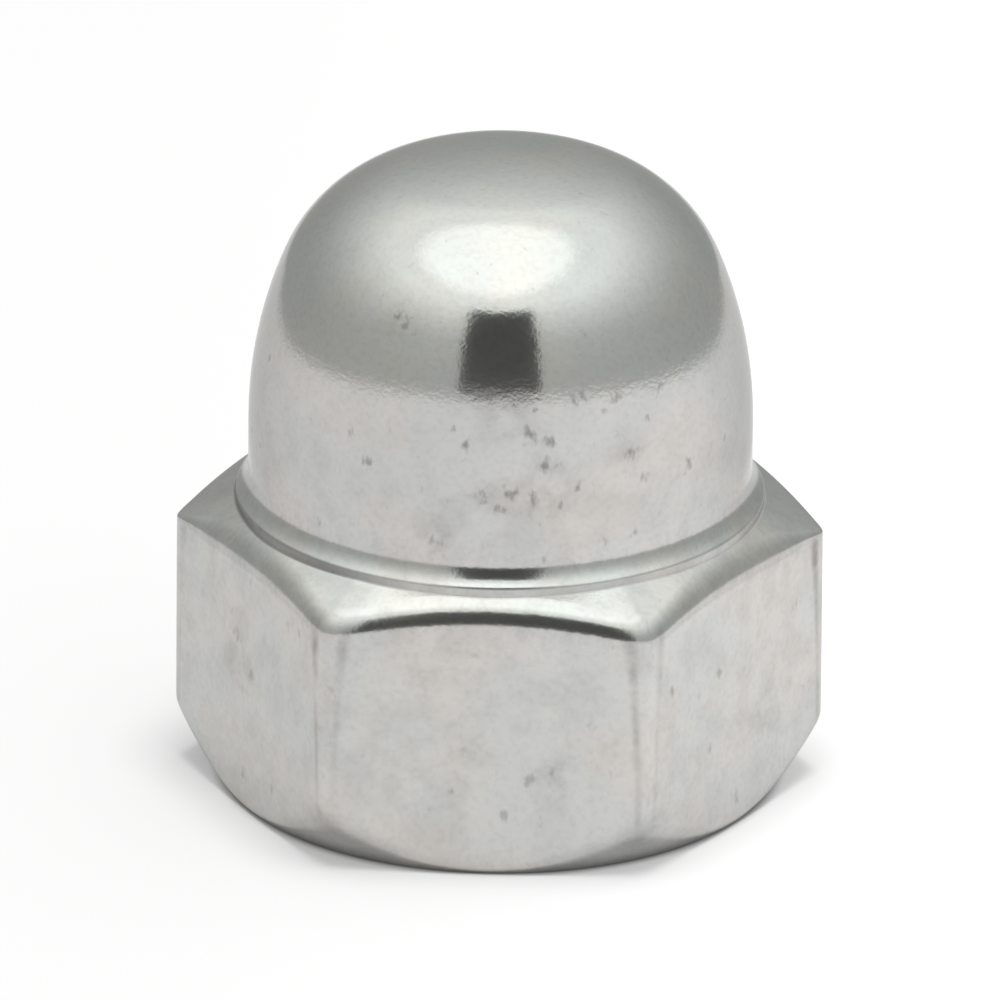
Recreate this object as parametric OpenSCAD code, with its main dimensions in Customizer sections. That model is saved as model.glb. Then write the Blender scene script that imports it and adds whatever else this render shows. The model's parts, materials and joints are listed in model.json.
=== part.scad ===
// Domed cap nut, turned from hexagon bar in one piece, with a blind tapped hole.
// Millimetres. The origin is the centre of the bearing face, and +Z runs up the axis to the dome.

/* [Hexagon] */
// Width across the flats
flats_w = 13; // [11.5:0.1:16]
// Radius on the six upright corners
corner_r = 0.35; // [0.2:0.05:1]
// How far the round bearing face underneath stops short of the flats
bearing_inset = 0.1; // [0:0.05:0.8]
// Slope of the lower chamfer, from level, in degrees
lower_slope = 52; // [30:1:60]
// Slope of the upper chamfer, from level, in degrees
upper_slope = 30; // [20:1:45]

/* [Collar] */
// Height of the collar's rim above the bearing face
collar_z = 6.94; // [6:0.02:9]
// Width of the collar, from the neck out to its rim
collar_w = 0.275; // [0.2:0.005:0.5]
// Drop from the collar's rim to the upper chamfer
collar_step = 0.12; // [0.03:0.01:0.2]
// Radius of the hollow that runs from the neck to the collar's rim
hollow_r = 0.85; // [0.6:0.05:1.2]

/* [Dome] */
// How far the neck is set in from the flats
neck_inset = 0.7; // [0.4:0.05:1.2]
// Height of the neck's straight stretch
neck_h = 1.134; // [0.4:0.002:3]
// Height of the dome above the neck
dome_h = 6.3; // [5:0.1:7.8]
// Radius of the dome's side
side_r = 10; // [8:0.5:14]
// Radius of the dome's shoulder
shoulder_r = 3.75; // [3:0.05:4.6]
// Radius of the dome's crown
crown_r = 12; // [9:0.5:16]

/* [Tapped hole] */
// Nominal size of the thread
thread_d = 8; // [6:0.5:9]
// Pitch of the thread
pitch = 1.25; // [0.75:0.25:1.5]
// Metal left between the drilled point and the crown
roof = 2; // [1:0.1:4]
// Angle of the drilled point, side to side, in degrees
point_angle = 118; // [90:1:140]
// How much wider the countersink is than the thread
countersink_extra = 0.6; // [0.2:0.1:1]
// Angle of the countersink, side to side, in degrees
countersink_angle = 120; // [90:5:130]

/* [Hidden] */
$fn = 128;

// Room by which a cutting shape passes the face it cuts
overrun = 0.5;
// Hair by which the corner rounds pass the flats, so that the two cross cleanly
corner_proud = 0.0005;

// The hexagon: half widths to a flat and to a sharp corner, and half of a flat's plain stretch
sides = 6;
turn = 360 / sides;
flat_r = flats_w / 2;
sharp_r = flat_r / cos(turn / 2);
corner_axis_r = (flat_r - corner_r + corner_proud) / cos(turn / 2);
flat_half = corner_axis_r * sin(turn / 2);

// The chamfers, and the height at which the turned sections lap inside the hexagon
bearing_r = flat_r - bearing_inset;
neck_r = flat_r - neck_inset;
collar_r = neck_r + collar_w;
chamfer_z = collar_z - collar_step;
lower_corner_z = (sharp_r - bearing_r) * tan(lower_slope);
upper_corner_z = chamfer_z - (sharp_r - collar_r) * tan(upper_slope);
lap_z = chamfer_z / 2;

// The stack of heights: collar, hollow, neck and dome
hollow_axis_r = neck_r + hollow_r;
hollow_z = collar_z + sqrt(pow(hollow_r, 2) - pow(hollow_r - collar_w, 2));
neck_z = hollow_z + neck_h;
height = neck_z + dome_h;

// The dome: the shoulder's arc touches the side's and the crown's from inside,
// so its centre lies a known way from each of theirs
side_axis = [neck_r - side_r, neck_z];
crown_axis = [0, height - crown_r];
to_side = side_r - shoulder_r;
to_crown = crown_r - shoulder_r;
span = norm(crown_axis - side_axis);
along = (crown_axis - side_axis) / span;
across = [-along.y, along.x];
foot = (pow(to_side, 2) - pow(to_crown, 2) + pow(span, 2)) / (2 * span);
shoulder_axis = side_axis + foot * along + sqrt(pow(to_side, 2) - pow(foot, 2)) * across;
side_end = bearing_of(shoulder_axis - side_axis);
crown_start = bearing_of(shoulder_axis - crown_axis);

// The hole: the bore is as wide as the crests of a metric thread, and its point stops below the crown
crest_share = 1.0825;
bore_r = (thread_d - crest_share * pitch) / 2;
mouth_r = (thread_d + countersink_extra) / 2;
mouth_z = (mouth_r - bore_r) / tan(countersink_angle / 2);
mouth_flare = overrun * tan(countersink_angle / 2);
point_z = height - roof;
bore_z = point_z - bore_r / tan(point_angle / 2);

function bearing_of(v) = atan2(v.y, v.x);

// A slice of a disc between two bearings from its centre
module sector(centre, radius, from, to) {
    reach = 2 * radius;
    translate(centre)
        intersection() {
            circle(radius);
            polygon([[0, 0], reach * [cos(from), sin(from)], reach * [cos(to), sin(to)]]);
        }
}

// Half section of the two chamfers that take the hexagon's corners off
module chamfer_section() {
    polygon([
        [0, 0],
        [bearing_r, 0],
        [sharp_r, lower_corner_z],
        [sharp_r, upper_corner_z],
        [collar_r, chamfer_z],
        [0, chamfer_z],
    ]);
}

// Half section of the collar, hollowed between its rim and the neck
module collar_section() {
    difference() {
        translate([0, lap_z])
            square([collar_r, hollow_z - lap_z]);
        translate([hollow_axis_r, hollow_z])
            circle(hollow_r);
    }
}

// Half section of the straight neck, with a cone on top that reaches into the dome
module neck_section() {
    polygon([
        [0, lap_z],
        [neck_r, lap_z],
        [neck_r, neck_z],
        [0, neck_z + dome_h / 2],
    ]);
}

// Half section of the dome above the neck: side, shoulder and crown, each a true arc
module dome_section() {
    intersection() {
        union() {
            sector(side_axis, side_r, 0, side_end);
            translate(shoulder_axis)
                circle(shoulder_r);
            sector(crown_axis, crown_r, crown_start, 90);
        }
        translate([0, neck_z])
            square([neck_r + overrun, dome_h + overrun]);
    }
}

// Half section of the countersunk and drilled hole
module hole_section() {
    polygon([
        [0, -overrun],
        [mouth_r + mouth_flare, -overrun],
        [bore_r, mouth_z],
        [bore_r, bore_z],
        [0, point_z],
    ]);
}

// Hexagon bar with rounded corners, a flat facing -Y
module hexagon_bar(length) {
    linear_extrude(length) {
        polygon([
            for (k = [0:sides - 1], end = [-1, 1])
                let (a = k * turn - 90)
                flat_r * [cos(a), sin(a)] + end * flat_half * [-sin(a), cos(a)]
        ]);
        for (k = [0:sides - 1])
            rotate(k * turn)
                translate([corner_axis_r, 0])
                    circle(corner_r);
    }
}

// The bar is turned down to the chamfers, collar, neck and dome, then drilled from below
module cap_nut() {
    color("silver")
        difference() {
            intersection() {
                hexagon_bar(height + overrun);
                rotate_extrude() {
                    chamfer_section();
                    collar_section();
                    neck_section();
                    dome_section();
                }
            }
            rotate_extrude()
                hole_section();
        }
}

cap_nut();
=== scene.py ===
import json
import math

import bpy
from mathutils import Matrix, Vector
from mathutils.geometry import intersect_sphere_sphere_2d


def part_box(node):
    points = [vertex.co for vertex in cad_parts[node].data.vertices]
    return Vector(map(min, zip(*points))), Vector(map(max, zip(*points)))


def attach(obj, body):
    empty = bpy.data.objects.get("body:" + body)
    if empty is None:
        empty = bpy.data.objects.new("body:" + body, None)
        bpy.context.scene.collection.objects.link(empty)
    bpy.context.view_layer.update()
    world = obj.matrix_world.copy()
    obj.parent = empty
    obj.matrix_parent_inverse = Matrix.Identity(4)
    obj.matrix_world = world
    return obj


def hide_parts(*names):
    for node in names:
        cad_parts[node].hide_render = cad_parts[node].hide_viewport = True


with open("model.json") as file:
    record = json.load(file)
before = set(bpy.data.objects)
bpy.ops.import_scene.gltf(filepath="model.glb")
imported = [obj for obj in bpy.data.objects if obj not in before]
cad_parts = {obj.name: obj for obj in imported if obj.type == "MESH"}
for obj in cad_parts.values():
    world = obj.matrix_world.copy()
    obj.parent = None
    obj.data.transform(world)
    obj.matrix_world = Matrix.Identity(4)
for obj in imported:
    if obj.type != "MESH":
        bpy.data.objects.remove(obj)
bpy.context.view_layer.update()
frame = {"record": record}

# Cap nut: the whole object, one piece of steel turned from hexagon bar to a domed top, a neck
# and a hollowed collar, with its upper edges tumbled soft. It is drilled and tapped from below,
# plated bright, and stands on its bearing face.
MM = 0.001
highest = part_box("cap_nut")[1]
flat_r = highest.y / MM
height = highest.z / MM
bore_r = frame["record"]["mounts"][0]["dims"]["r_mm"]

neck_r = flat_r - 0.7
neck_z = height - 6.3
crown_r, shoulder_r, side_r = 12, 3.75, 10
collar_w, collar_z = 0.29, 6.935
collar_r = neck_r + collar_w
hollow_r = 0.85
hollow_z = collar_z + math.sqrt(hollow_r**2 - (hollow_r - collar_w) ** 2)
brim_r, crease_r = 0.14, 0.02
cone_r, chamfer_z, upper_slope = collar_r - 0.015, 6.78, 28
bearing_r, lower_slope, rim_round = flat_r - 0.1, 52, 0.08
mouth_r, mouth_spread = 4.3, 60
pitch, thread_r, thread_end = 1.25, 4.03, 9.5
thread_out, thread_fade = 9.4, 1.2
point_z, point_spread = height - 2, 59

# Radii of the worn edges, each at the back of the nut and at its front
upper_flat_rounds, upper_corner_rounds = (0.45, 0.95), (0.1, 0.94)
lower_flat_round, lower_corner_rounds = 0.2, (0.7, 2.3)
corner_foot, corner_tops = 0.36, (0.4, 1.2)
wear_drop = 0.04


def rise(degrees):
    """How much a slope climbs for each step along."""
    return math.tan(math.radians(degrees))


def heading(degrees):
    """A step of 1 in the section, at an angle from level."""
    return Vector((math.cos(math.radians(degrees)), math.sin(math.radians(degrees))))


def between(start, end, share):
    """A value that share of the way from start to end."""
    return start + (end - start) * share


def arc(r, z, radius, start, end, steps):
    """Points round a centre in the section, from one bearing to another. A negative radius is a hollow."""
    turns = [math.radians(between(start, end, k / steps)) for k in range(steps + 1)]
    return [(r + radius * math.cos(t), z + radius * math.sin(t)) for t in turns]


def line(start, end, steps):
    """Points between two points of the section, without those two."""
    shares = [k / steps for k in range(1, steps)]
    return [tuple(between(a, b, share) for a, b in zip(start, end)) for share in shares]


def reach(bearing, corner):
    """How far the hexagon reaches from the axis at a bearing, with a soft round on its corners."""
    from_corner = math.radians(30 - abs(bearing % 60 - 30))
    from_flat = math.radians(30) - from_corner
    rounds = []
    for radius in (0.5 * corner, 1.5 * corner):
        axis_r = (flat_r - radius) / math.cos(math.radians(30))
        if flat_r * math.tan(from_flat) <= (flat_r - radius) * rise(30):
            rounds.append(flat_r / math.cos(from_flat))
        else:
            half_chord = math.sqrt(radius**2 - (axis_r * math.sin(from_corner)) ** 2)
            rounds.append(axis_r * math.cos(from_corner) + half_chord)
    return sum(rounds) / 2


# The dome's shoulder touches its side and its crown from inside
side_axis = Vector((neck_r - side_r, neck_z))
crown_axis = Vector((0, height - crown_r))
meetings = intersect_sphere_sphere_2d(side_axis, side_r - shoulder_r, crown_axis, crown_r - shoulder_r)
shoulder_axis = max(meetings, key=lambda p: p.x)
side_end, crown_end = (
    math.degrees(math.atan2(*reversed(shoulder_axis - axis))) for axis in (side_axis, crown_axis)
)


def outside(bearing):
    """The nut's outline at a bearing, from the crown down to the mouth of the hole."""
    outline = arc(*crown_axis, crown_r, 90, crown_end, 8)
    outline += arc(*shoulder_axis, shoulder_r, crown_end, side_end, 26)[1:]
    outline += arc(*side_axis, side_r, side_end, 0, 14)[1:]
    outline += line((neck_r, neck_z), (neck_r, hollow_z), 4)

    # Edges of the hexagon: the upper one is worn soft over the flats, the lower one at the corners,
    # and both most at the front
    off_flat = (abs(bearing % 60 - 30) / 30) ** 2
    front = math.cos(math.radians(bearing - 270))
    worn = min(max(0.4 + 3 * front, 0), 1)
    front = max(front, 0)
    upper_round = between(
        between(*upper_flat_rounds, worn), between(*upper_corner_rounds, front), off_flat
    )
    lower_round = between(lower_flat_round, between(*lower_corner_rounds, front), off_flat)
    corner_top = between(*corner_tops, front)
    cone_z = chamfer_z - wear_drop * worn * (1 - off_flat)
    top_r = reach(bearing, corner_top)
    foot_r = reach(bearing, corner_foot)
    cone_tilt = 90 - upper_slope
    edge_z = cone_z - (top_r - cone_r) * rise(upper_slope) - upper_round * rise(cone_tilt / 2)
    edge_axis = Vector((top_r - upper_round, edge_z))

    # Hollow and collar: below its rounded brim the collar falls to a crease, which runs into the upper
    # chamfer, or straight into the soft edge where that takes up the whole chamfer
    hollow_axis = Vector((neck_r + hollow_r, hollow_z))
    brim = math.degrees(math.acos(1 - collar_w / (hollow_r + brim_r)))
    brim_axis = hollow_axis - (hollow_r + brim_r) * heading(brim)
    crease_share = (collar_r + crease_r - edge_axis.x) / (upper_round + crease_r)
    crease_end = math.degrees(math.acos(max(crease_share, -1)))
    if crease_end < cone_tilt:
        crease_axis = edge_axis + (upper_round + crease_r) * heading(crease_end)
    else:
        crease_end = cone_tilt
        cone_start = Vector((collar_r, cone_z + (cone_r - collar_r) * rise(upper_slope)))
        crease_axis = cone_start + crease_r * Vector((1, rise(45 - upper_slope / 2)))
    outline += arc(*hollow_axis, -hollow_r, 0, brim, 12)
    outline += arc(*brim_axis, brim_r, brim, 0, 8)[1:]
    crease = arc(*crease_axis, -crease_r, 0, crease_end, 8)
    outline += crease

    # Upper chamfer, soft edge, flat, lower chamfer and bearing face
    edge = arc(*edge_axis, upper_round, crease_end, 0, 16)
    lower_z = (foot_r - bearing_r) * rise(lower_slope)
    lower_tilt = 90 - lower_slope
    lower_axis_z = lower_z + lower_round * rise(lower_tilt / 2)
    lower = arc(foot_r - lower_round, lower_axis_z, lower_round, 0, -lower_tilt, 8)
    rim_axis_r = bearing_r - rim_round * rise(lower_slope / 2)
    rim = arc(rim_axis_r, rim_round, rim_round, -lower_tilt, -90, 4)
    outline += line(crease[-1], edge[0], 4) + edge
    for _, z in line(edge[-1], lower[0], 10):
        share = (z - lower[0][1]) / (edge[-1][1] - lower[0][1])
        outline.append((reach(bearing, between(corner_foot, corner_top, share**2)), z))
    outline += lower + line(lower[-1], rim[0], 3) + rim
    return outline + line(rim[-1], (mouth_r, 0), 4) + [(mouth_r, 0)]


# One turn of the thread: height in turns, and depth from crest (0) to root (1)
half_crest, flank, flank_shares = 0.125, 0.3125, (0.2, 0.4, 0.6, 0.8, 1)
thread_turn = [(-half_crest, 0), (0, 0), (half_crest, 0)]
thread_turn += [(half_crest + flank * share, share) for share in flank_shares]
thread_turn += [(0.5, 1)] + [(1 - half_crest - flank * share, share) for share in reversed(flank_shares)]
thread_turns = math.ceil(thread_end / pitch) + 1


def hole(bearing):
    """The hole's outline at a bearing, from its mouth up the right-hand thread to the drilled point."""
    outline = []
    for turn in range(-1, thread_turns):
        for climb, depth in thread_turn:
            z = pitch * (turn + climb + bearing / 360)
            z = min(max(z, 0), thread_end)
            depth *= min(max((thread_out - z) / thread_fade, 0), 1)
            countersink_r = mouth_r - z * rise(mouth_spread)
            outline.append((max(between(bore_r, thread_r, depth), countersink_r), z))
    bore_end = (bore_r, point_z - bore_r / rise(point_spread))
    outline += line((bore_r, thread_end), bore_end, 3) + [bore_end]
    return outline + line(bore_end, (0, point_z), 8) + [(0, point_z)]


# Bearings run once round, close together over each corner
corner_reach, corner_steps, flat_steps = 7, 28, 18
bearings = []
for sixth in range(0, 360, 60):
    bearings += [sixth + corner_reach * k * 2 / corner_steps for k in range(corner_steps // 2)]
    bearings += [sixth + corner_reach + (60 - 2 * corner_reach) * k / flat_steps for k in range(flat_steps)]
    bearings += [sixth + 60 - corner_reach * (1 - k * 2 / corner_steps) for k in range(corner_steps // 2)]
bearings.append(360)
outlines = [outside(bearing) + hole(bearing) for bearing in bearings]

# A sheet of faces is wrapped round the axis along those outlines, and its seam, poles and thread ends
# close up
bpy.ops.object.select_all(action="DESELECT")
columns, rows = len(bearings) - 1, len(outlines[0]) - 1
bpy.ops.mesh.primitive_grid_add(x_subdivisions=columns, y_subdivisions=rows, size=1)
nut = bpy.context.object
nut.name = nut.data.name = "dressed_cap_nut"
places = []
for ring in zip(*outlines):
    for bearing, (r, z) in zip(bearings, ring):
        turn = math.radians(bearing)
        places += [r * math.cos(turn) * MM, r * math.sin(turn) * MM, z * MM]
nut.data.vertices.foreach_set("co", places)
bpy.ops.object.mode_set(mode="EDIT")
bpy.ops.mesh.select_all(action="SELECT")
bpy.ops.mesh.remove_doubles(threshold=0.0005 * MM)
bpy.ops.mesh.normals_make_consistent(inside=False)
bpy.ops.object.mode_set(mode="OBJECT")
bpy.ops.object.shade_smooth_by_angle(angle=math.radians(50))


class Wire:
    """A node's outlet, so that sums on shader values read as sums."""

    def __init__(self, socket):
        self.socket = socket

    def node(self, kind, settings, links, outlet=0):
        """Adds a node beside this one, with its settings and the values or wires of its sockets."""
        made = self.socket.id_data.nodes.new(kind)
        for name, value in settings.items():
            setattr(made, name, value)
        for name, value in links.items():
            if isinstance(value, Wire):
                self.socket.id_data.links.new(value.socket, made.inputs[name])
            else:
                made.inputs[name].default_value = value
        return Wire(made.outputs[outlet])

    def math(self, operation, *values):
        return self.node("ShaderNodeMath", {"operation": operation}, dict(enumerate(values)))

    def __add__(self, other):
        return self.math("ADD", self, other)

    def __sub__(self, other):
        return self.math("SUBTRACT", self, other)

    def __rsub__(self, other):
        return self.math("SUBTRACT", other, self)

    def __mul__(self, other):
        return self.math("MULTIPLY", self, other)

    __radd__ = __add__
    __rmul__ = __mul__

    def part(self, axis):
        return self.node("ShaderNodeSeparateXYZ", {}, {"Vector": self}, axis)

    def mix(self, first, second):
        """The first colour where this is 0, and the second where it is 1."""
        return self.node("ShaderNodeMix", {"data_type": "RGBA"}, {"Factor": self, 6: first, 7: second}, 2)

    def above(self, low, high):
        """0 below low, 1 above high, eased between them."""
        ends = {"Value": self, "From Min": low, "From Max": high}
        return self.node("ShaderNodeMapRange", {"interpolation_type": "SMOOTHSTEP"}, ends)


# Bright plating on steel: a soft mirror with fine grain, cloudy tints, small pits and smudges
warm_plating, cool_plating = (0.592, 0.573, 0.55, 1), (0.563, 0.566, 0.557, 1)
# The near-black colours the pits, and is also the painted shade in the crease under the collar
smudge_brown, dirt_and_shade_black = (0.28, 0.265, 0.25, 1), (0.1, 0.095, 0.09, 1)
grain_depth, peel_depth = 0.0014 * MM, 0.0022 * MM
plating = bpy.data.materials.new("bright_plating")
plating.use_nodes = True
metal = plating.node_tree.nodes["Principled BSDF"]
metal.inputs["Metallic"].default_value = 1
metal_space = Wire(plating.node_tree.nodes.new("ShaderNodeTexCoord").outputs["Object"])
spot = metal_space.node(
    "ShaderNodeVectorMath", {"operation": "SCALE"}, {"Vector": metal_space, "Scale": 1 / MM}
)


def speckle(scale, detail, stretch=(1, 1, 1)):
    """Noise over the metal, with its scale in marks to the millimetre."""
    stretched = spot.node("ShaderNodeVectorMath", {"operation": "MULTIPLY"}, {0: spot, 1: stretch})
    return spot.node("ShaderNodeTexNoise", {}, {"Vector": stretched, "Scale": scale, "Detail": detail})


clouds = speckle(0.4, 2)
mottle = speckle(1.3, 4)
grit = speckle(7, 3)
peel = speckle(4, 2, (1, 1, 1.6))
grain = speckle(13, 2)
spot_x, spot_y, spot_z = (spot.part(axis) for axis in "XYZ")
rough_side = spot_z.above(11, 8.5)

# Rub lines along both sides of each corner's round, which narrows downwards, clearest at the top
off_corner = spot.math("FLOORED_MODULO", spot.math("ARCTAN2", spot_y, spot_x), math.radians(60))
round_edge = math.radians(1.5) + spot_z * spot_z * math.radians(0.05)
rub_w = 0.018 + 0.014 * spot_z.above(4, 6)
rub = 1 - spot.math("ABSOLUTE", math.radians(60) - off_corner - round_edge).above(0, rub_w)
rub = rub + 0.5 - 0.5 * spot.math("ABSOLUTE", off_corner - round_edge).above(0, rub_w)
rub = rub * (0.3 + 0.7 * speckle(0.8, 3).above(0.35, 0.6)) * (0.4 + 0.6 * spot_z.above(4.4, 5.6))
rub = rub * spot_z.above(1, 1.5) * (1 - spot_z.above(5.8, 6.2))

# Crease under the collar: dull all round, and darkened with painted shade on the left of the nut as it
# faces the camera
spot_r = spot.math("POWER", spot_x * spot_x + spot_y * spot_y, 0.5)
crease = 1 - spot.math("ABSOLUTE", spot_r - collar_r).above(0.02, 0.06)
crease = crease * spot_z.above(6.55, 6.65) * (1 - spot_z.above(6.9, 6.97))
crease_shade = crease * (1 - spot_x.above(-4, -1.5))


def nearness(spread, places):
    """1 at places on the outside, given by bearing, height and size, and 0 away from all of them."""
    for bearing, z, size in places:
        side_lean = math.sqrt(side_r**2 - max(z - neck_z, 0) ** 2) - side_r
        r = neck_r + side_lean if z > collar_z else reach(bearing, corner_foot)
        turn = math.radians(bearing)
        place = (r * math.cos(turn), r * math.sin(turn), z)
        away = spot.node("ShaderNodeVectorMath", {"operation": "DISTANCE"}, {0: spot, 1: place}, "Value")
        spread = spot.math("MAXIMUM", spread, 1 - away.above(0, size))
    return spread


# Pits and specks, all ragged: a few strewn at random, and those that show on the neck, the hexagon and
# the dome
neck_marks = [
    (279, 10.5, 0.42), (283, 9.8, 0.4), (275, 9.2, 0.38), (280, 9, 0.44), (273, 8.8, 0.3), (268, 9.1, 0.4),
    (290, 9.3, 0.3), (304, 9.8, 0.42), (307, 9.2, 0.3), (320, 9.1, 0.34), (297, 7.8, 0.34),
    (291, 11.3, 0.34), (301, 11.2, 0.3), (258, 7.9, 0.36), (269, 11.4, 0.36), (284, 10.4, 0.3),
    (264, 10.3, 0.26), (241, 9.6, 0.3),
]
hexagon_marks = [
    (205, 4.2, 0.4), (212, 3.5, 0.34), (208, 3, 0.4), (228, 5.4, 0.3), (209, 0.9, 0.36), (221, 1.1, 0.24),
    (265, 3.1, 0.34), (263, 2.1, 0.26), (283, 2.6, 0.36), (279, 2.4, 0.32), (294, 2.6, 0.3),
    (274, 1.5, 0.24), (306, 4.3, 0.34), (323, 4.1, 0.34), (330, 0.7, 0.46), (298, 1.8, 0.36),
    (303, 0.9, 0.4), (239, 1, 0.4),
]
dome_marks = [(244, 12.9, 0.4), (246, 12.7, 0.3)]
strewn = spot.node("ShaderNodeTexVoronoi", {}, {"Vector": spot, "Scale": 1})
strewn = (0.75 - 0.75 * strewn.above(0, 0.24)) * (1 - spot_z.above(11, 12))
marks = nearness(strewn, neck_marks + hexagon_marks + dome_marks)
pits = (1.4 * speckle(5, 5, (1, 1, 0.6)) + 0.4 * marks).above(0.88, 1.3)

# Stains: wide and faint, most of them round the thickest of the marks
neck_stains = [(275, 10.9, 1.2), (281, 9.3, 1.3), (267, 9, 1), (258, 8, 0.8), (303, 9.8, 0.8)]
hexagon_stains = [(206, 3.6, 1.3), (341, 2.4, 1), (240, 1, 0.8), (302, 1, 0.8), (282, 2.5, 0.9)]
dome_stains = [(245, 12.9, 0.7)]
stains = nearness(0, neck_stains + hexagon_stains + dome_stains)

# Colour, gloss and grain of the plating
tint = clouds.above(0.4, 0.6).mix(warm_plating, cool_plating)
dulled = (0.05 + 0.12 * rough_side) * mottle.above(0.35, 0.7) + 0.12 * grit.above(0.4, 0.75)
dulled = dulled + 0.27 * stains * mottle.above(0.3, 0.6) + 0.9 * rub
# The pits take the near-black as their own colour; the crease on the left takes it as painted shade
blackened = (0.3 + 0.22 * spot_z.above(6.5, 8)) * pits + 0.6 * crease_shade
colour = blackened.mix(dulled.mix(tint, smudge_brown), dirt_and_shade_black)
roughness = 0.085 + 0.04 * rough_side + 0.08 * mottle + 0.15 * pits + 0.25 * crease
plating.node_tree.links.new(colour.socket, metal.inputs["Base Color"])
plating.node_tree.links.new(roughness.socket, metal.inputs["Roughness"])
metal.inputs["Specular Tint"].default_value = (0.8, 0.8, 0.8, 1)
relief = spot.node("ShaderNodeBump", {}, {"Strength": 1, "Distance": grain_depth, "Height": grain})
relief = spot.node(
    "ShaderNodeBump", {}, {"Strength": 1, "Distance": peel_depth, "Height": peel, "Normal": relief}
)
plating.node_tree.links.new(relief.socket, metal.inputs["Normal"])
nut.data.materials.clear()
nut.data.materials.append(plating)

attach(nut, "root")
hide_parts("cap_nut")

# Floor: a round white card under the nut, on a table of the same white. Only the card
# is seen in the metal, because the room's soft light stands for all that lies further out.
card_r, table_size, table_drop = 21 * MM, 3, 0.02 * MM
# Painted light: both sheets glow a little, standing in for light bounced round the room, more on the right
# than on the left
left_painted_glow, right_painted_glow = 0.26, 0.46
paper = bpy.data.materials.new("white_card")
paper.use_nodes = True
white = paper.node_tree.nodes["Principled BSDF"]
white.inputs["Base Color"].default_value = (0.35, 0.346, 0.348, 1)
white.inputs["Roughness"].default_value = 1
white.inputs["Specular IOR Level"].default_value = 0
white.inputs["Emission Strength"].default_value = 1
card_space = Wire(paper.node_tree.nodes.new("ShaderNodeTexCoord").outputs["Object"])
from_nut = card_space.node("ShaderNodeVectorMath", {"operation": "LENGTH"}, {0: card_space}, "Value")
painted_glow = left_painted_glow + (right_painted_glow - left_painted_glow) * card_space.part("X").above(-10 * MM, 20 * MM)
# Painted shadow: the glow fades out at the nut's foot, so the card is darker round and under it
painted_glow = painted_glow * from_nut.above((bearing_r - 0.1) * MM, (bearing_r + 0.3) * MM)
paper.node_tree.links.new(painted_glow.socket, white.inputs["Emission Color"])
bpy.ops.object.select_all(action="DESELECT")
bpy.ops.mesh.primitive_circle_add(vertices=96, radius=card_r, fill_type="NGON")
card = bpy.context.object
card.name = "card"
bpy.ops.object.select_all(action="DESELECT")
bpy.ops.mesh.primitive_plane_add(size=table_size, location=(0, 0, -table_drop))
table = bpy.context.object
table.name = "table"
table.visible_glossy = False
for sheet in (card, table):
    sheet.data.materials.append(paper)

# Room: grey walls that brighten upwards to a wide soft light overhead, a pale floor that rises
# a little towards the camera, and a dark board at the camera's side.
world = bpy.data.worlds.new("studio")
bpy.context.scene.world = world
world.use_nodes = True
backdrop = world.node_tree.nodes["Background"]
outlook = Wire(world.node_tree.nodes.new("ShaderNodeTexCoord").outputs["Generated"])
across, back, up = (outlook.part(axis) for axis in "XYZ")

# How far a direction lies above the floor's edge, and the floor's light
floor_tilt, floor_drop = math.radians(10), 0.035
off_side = up.math("ABSOLUTE", across)
over_floor = back * math.sin(floor_tilt) + up * math.cos(floor_tilt) + floor_drop
over_floor = over_floor - 0.016 * off_side - 0.007 * across
above_floor = over_floor.above(-0.02, 0.02)
floor = (1.02 + 0.08 * across) * (1 - 0.15 * back.above(0, 0.8))

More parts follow.
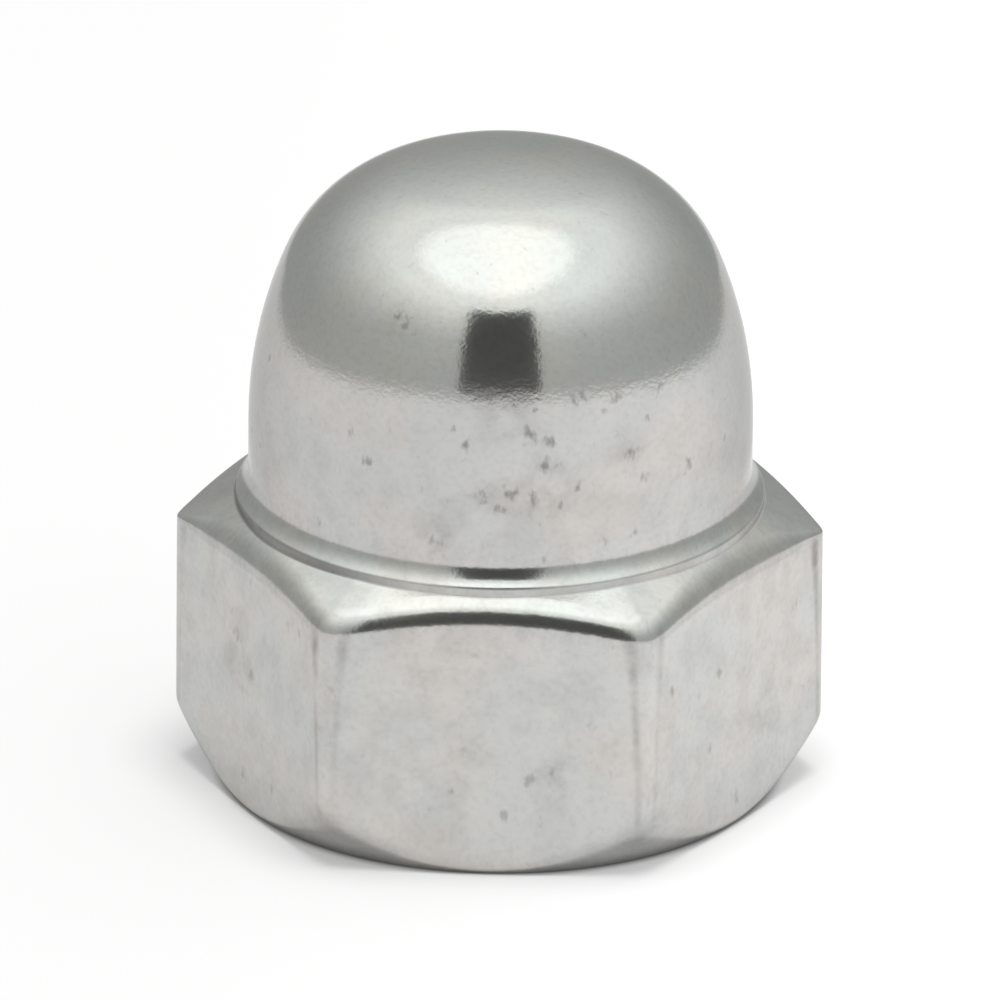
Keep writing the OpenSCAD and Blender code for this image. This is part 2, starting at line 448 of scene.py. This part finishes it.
# Walls, the soft light overhead and the board
wall_foot, wall_gain, wall_top = 0.545, 1.42, 1.31
climb = up.math("POWER", up.math("MAXIMUM", up, 0), 2.4)
behind = back.above(-0.4, 0.5) * (0.4 + 0.6 * off_side.above(0, 0.5))
wall = up.math("MINIMUM", wall_foot + wall_gain * climb, wall_top) * (1 - 0.08 * behind)
overhead_tilt, overhead_light = math.radians(3.5), 0.44
overhead = up * math.cos(overhead_tilt) - back * math.sin(overhead_tilt) - 0.035 * across - 0.07 * off_side
wall = wall + overhead_light * overhead.above(0.82, 0.9)
board_x, board_spread, board_light = 0.035, 19.5, 0.1
board_foot = [math.sin(math.radians(angle)) for angle in (8, 10)]
board_head = [math.sin(math.radians(angle)) for angle in (44, 46.5)]
board = up.above(*board_foot) * (1 - up.above(*board_head))
off_board = up.math("ABSOLUTE", across - board_x) + back * rise(board_spread)
board = board * (1 - off_board.above(-0.015, 0.015))
wall = wall * (1 + 0.03 * across) * (1 - board) + board_light * board
light = wall * above_floor + floor * (1 - above_floor)
floor_tint, wall_tint = (1, 1, 1, 1), (0.98, 1.015, 0.985, 1)
light_tint = above_floor.mix(floor_tint, wall_tint)
world.node_tree.links.new(light_tint.socket, backdrop.inputs["Color"])
world.node_tree.links.new(light.socket, backdrop.inputs["Strength"])
bpy.context.scene.view_settings.view_transform = "Standard"

# Lamp: a round soft light overhead, which lights the floor right up to the nut's foot.
# The metal doesn't mirror it, because the room already has its soft light there.
lamp = bpy.data.lights.new("softbox", "AREA")
lamp.shape, lamp.size, lamp.energy = "DISK", 0.25, 2.7
softbox = bpy.data.objects.new("softbox", lamp)
bpy.context.scene.collection.objects.link(softbox)
softbox.location = (0.02, -0.03, 0.5)
softbox.rotation_euler = softbox.location.to_track_quat("Z", "Y").to_euler()
softbox.visible_glossy = False

# Camera: a long lens at the photograph's viewing angle, looking down on the nut's front flat.
# It stands level but for a slight roll, and takes in about 23 mm.
azimuth, elevation, roll = (math.radians(angle) for angle in (2.4, 22.7, 0.5))
picture_px, px_per_mm = 1000, 43.45
distance, sensor, frame_width = 0.6, 36, picture_px / px_per_mm * MM
aim_z, aim_drop = 7 * MM, 0.375 * MM
bearing_to_camera = Vector(
    (math.sin(azimuth) * math.cos(elevation), -math.cos(azimuth) * math.cos(elevation), math.sin(elevation))
)
facing = bearing_to_camera.to_track_quat("Z", "Y")
camera = bpy.data.objects.new("camera", bpy.data.cameras.new("camera"))
bpy.context.scene.collection.objects.link(camera)
camera.rotation_euler = facing.to_euler()
camera.rotation_euler.rotate_axis("Z", roll)
picture_up = facing @ Vector((0, 1, 0))
camera.location = Vector((0, 0, aim_z)) - aim_drop * picture_up + distance * bearing_to_camera
camera.data.sensor_width = sensor
camera.data.lens = sensor * distance / frame_width
camera.data.clip_start = 0.01
bpy.context.scene.camera = camera
